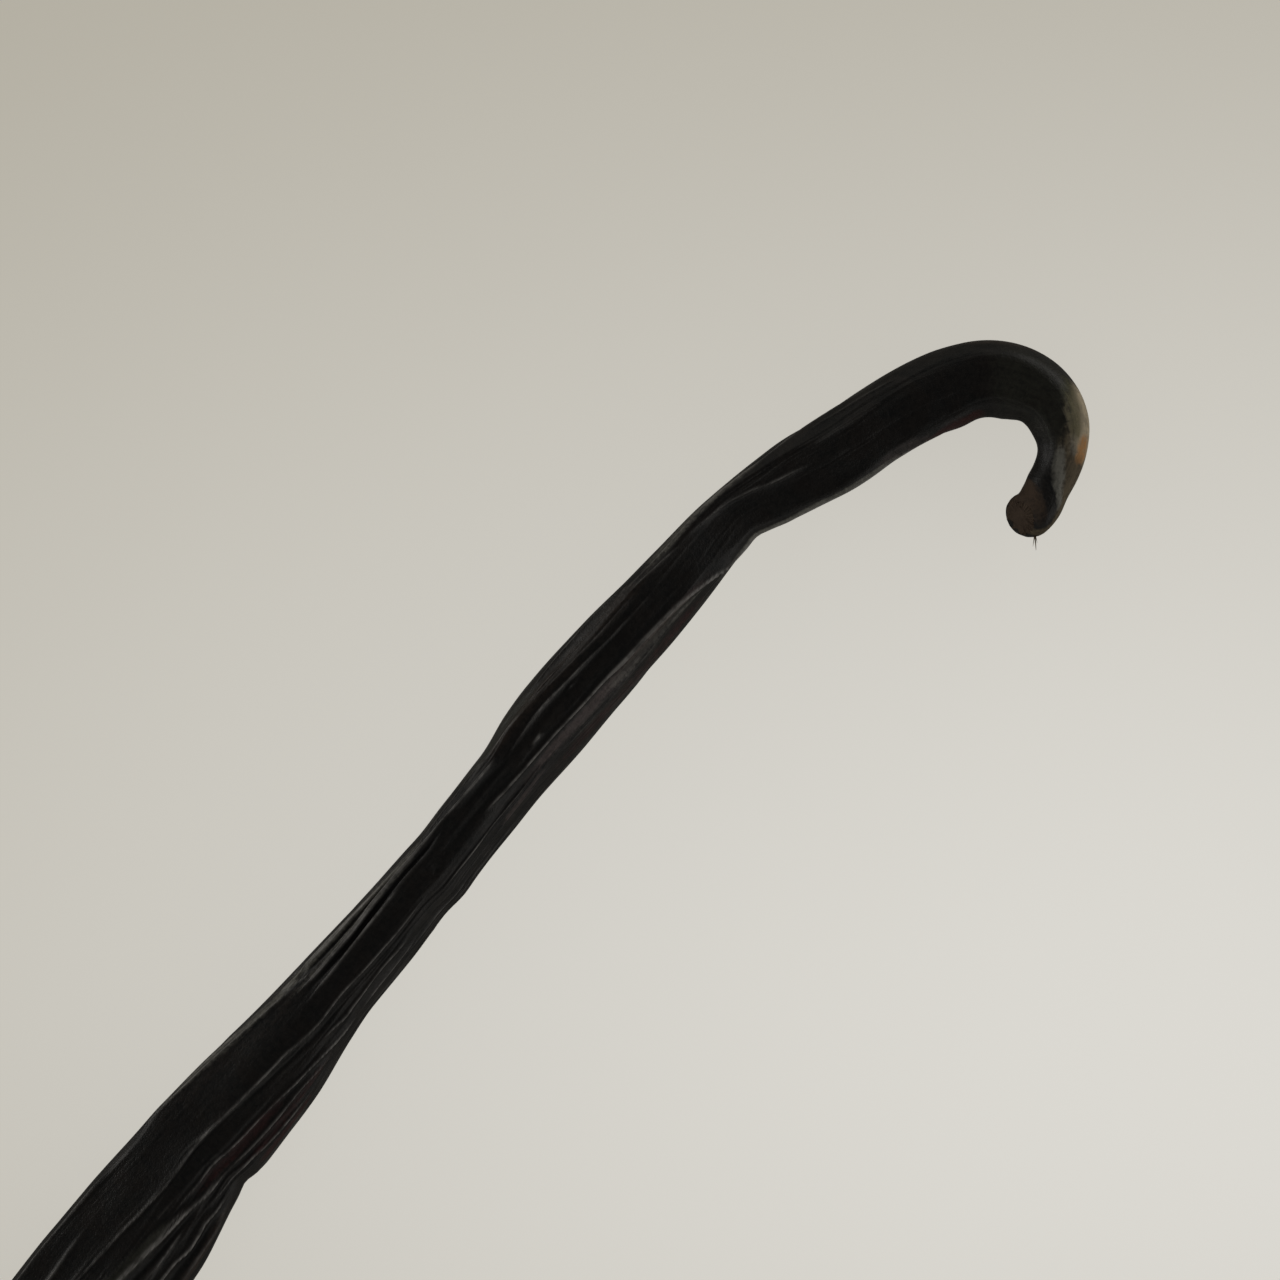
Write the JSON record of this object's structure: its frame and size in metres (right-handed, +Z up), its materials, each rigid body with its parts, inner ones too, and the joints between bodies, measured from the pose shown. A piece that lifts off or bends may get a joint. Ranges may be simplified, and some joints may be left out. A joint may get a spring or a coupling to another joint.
{
  "type": "vanilla pod",
  "caption": "Cured vanilla pod, long, slim and near-black, with lengthwise wrinkles, a hooked cut stem end, a broad flattened belly and a blunt tip, lying flat.",
  "frame": {"origin": "on the surface the pod lies on, under the centre of its bounding box", "axes": "+X along the pod towards its hooked stem end, +Z up from the surface it lies on; the hook bends towards -Y"},
  "size_m": [0.1511, 0.027, 0.0067],
  "materials": {
    "pod_skin": "oily satin, near-black brown, wrinkled lengthwise"
  },
  "bodies": {
    "root": {"pod": "pod_skin"}
  },
  "joints": []
}
